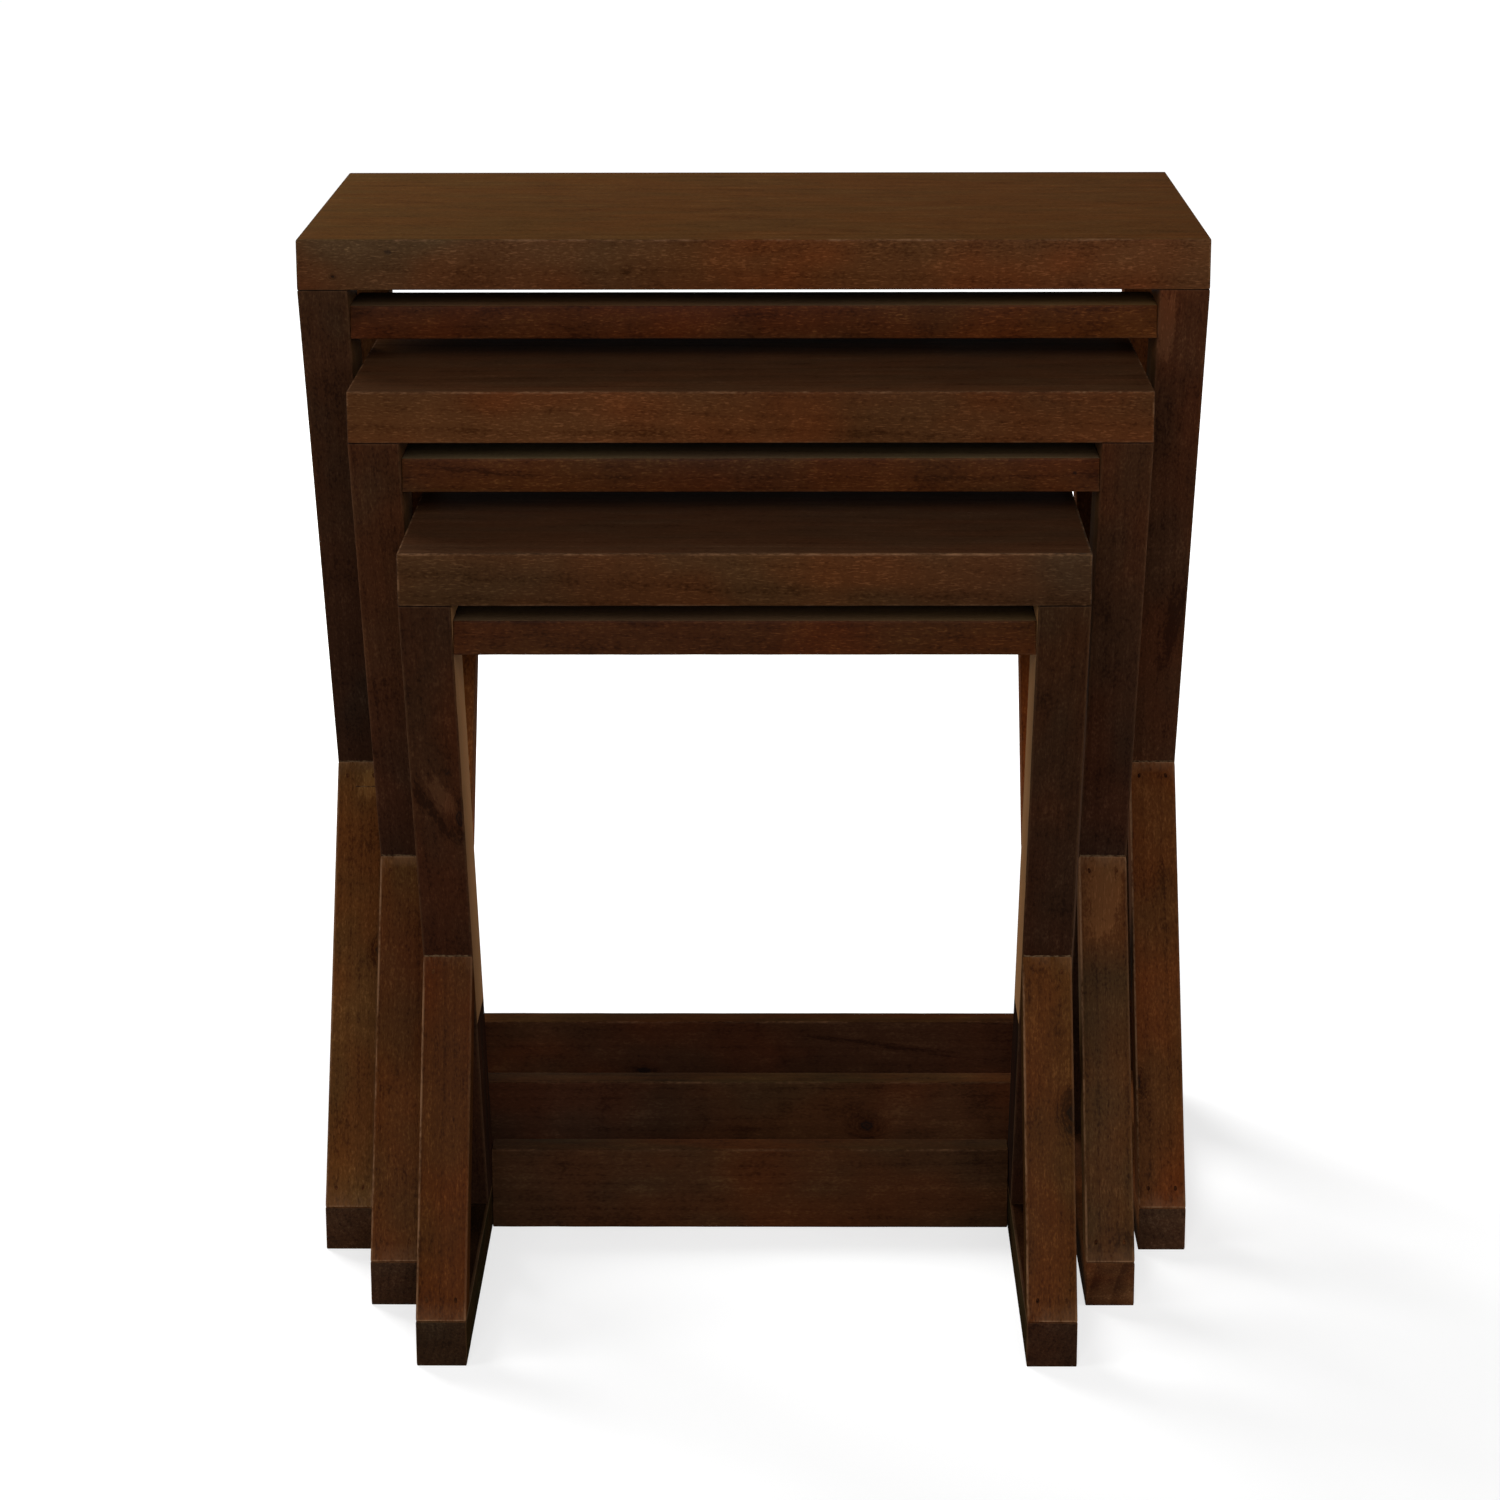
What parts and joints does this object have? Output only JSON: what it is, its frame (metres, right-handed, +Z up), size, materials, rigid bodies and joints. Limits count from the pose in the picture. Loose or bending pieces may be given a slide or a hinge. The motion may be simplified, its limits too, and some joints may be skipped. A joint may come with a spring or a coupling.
{
  "type": "nesting tables",
  "caption": "Nest of wooden side tables with thick plank tops on crossed side frames, each sliding in under the next larger one.",
  "frame": {"origin": "on the floor, midway between the outer faces of the large table's legs, and midway between the small table's front edge and the large table's back edge", "axes": "+Z up, -Y towards the fronts, which the smaller tables are drawn out towards, +X to the right as seen from the front"},
  "size_m": [0.51, 0.466, 0.602],
  "materials": {
    "top_wood": "dark brown mahogany stain under satin lacquer",
    "frame_wood": "reddish brown mahogany stain under satin lacquer",
    "rail_wood": "reddish brown mahogany stain under satin lacquer",
    "dowel_wood": "bare beech, hidden in the joints",
    "nail_steel": "bright wire nails, hidden under filler",
    "nail_filler": "dark wood filler, matt"
  },
  "bodies": {
    "large_table": {"large_top": "top_wood", "large_upper_rail": "rail_wood", "large_rear_stretcher": "rail_wood", "large_dowels": "dowel_wood", "large_nails": "nail_steel", "large_nail_filler": "nail_filler", "large_left_diagonal": "frame_wood", "large_left_lower_brace": "frame_wood", "large_left_upper_brace": "frame_wood", "large_left_foot_bar": "frame_wood", "large_right_diagonal": "frame_wood", "large_right_lower_brace": "frame_wood", "large_right_upper_brace": "frame_wood", "large_right_foot_bar": "frame_wood"},
    "middle_table": {"middle_top": "top_wood", "middle_upper_rail": "rail_wood", "middle_rear_stretcher": "rail_wood", "middle_dowels": "dowel_wood", "middle_nails": "nail_steel", "middle_nail_filler": "nail_filler", "middle_left_diagonal": "frame_wood", "middle_left_lower_brace": "frame_wood", "middle_left_upper_brace": "frame_wood", "middle_left_foot_bar": "frame_wood", "middle_right_diagonal": "frame_wood", "middle_right_lower_brace": "frame_wood", "middle_right_upper_brace": "frame_wood", "middle_right_foot_bar": "frame_wood"},
    "small_table": {"small_top": "top_wood", "small_upper_rail": "rail_wood", "small_rear_stretcher": "rail_wood", "small_dowels": "dowel_wood", "small_nails": "nail_steel", "small_nail_filler": "nail_filler", "small_left_diagonal": "frame_wood", "small_left_lower_brace": "frame_wood", "small_left_upper_brace": "frame_wood", "small_left_foot_bar": "frame_wood", "small_right_diagonal": "frame_wood", "small_right_lower_brace": "frame_wood", "small_right_upper_brace": "frame_wood", "small_right_foot_bar": "frame_wood"}
  },
  "joints": [
    {"name": "middle_table_slide", "type": "slide", "parent": "large_table", "child": "middle_table", "axis": [0, -1, 0], "range_m": [-0.085, 0.2]},
    {"name": "small_table_slide", "type": "slide", "parent": "middle_table", "child": "small_table", "axis": [0, -1, 0], "range_m": [-0.087, 0.17]}
  ]
}
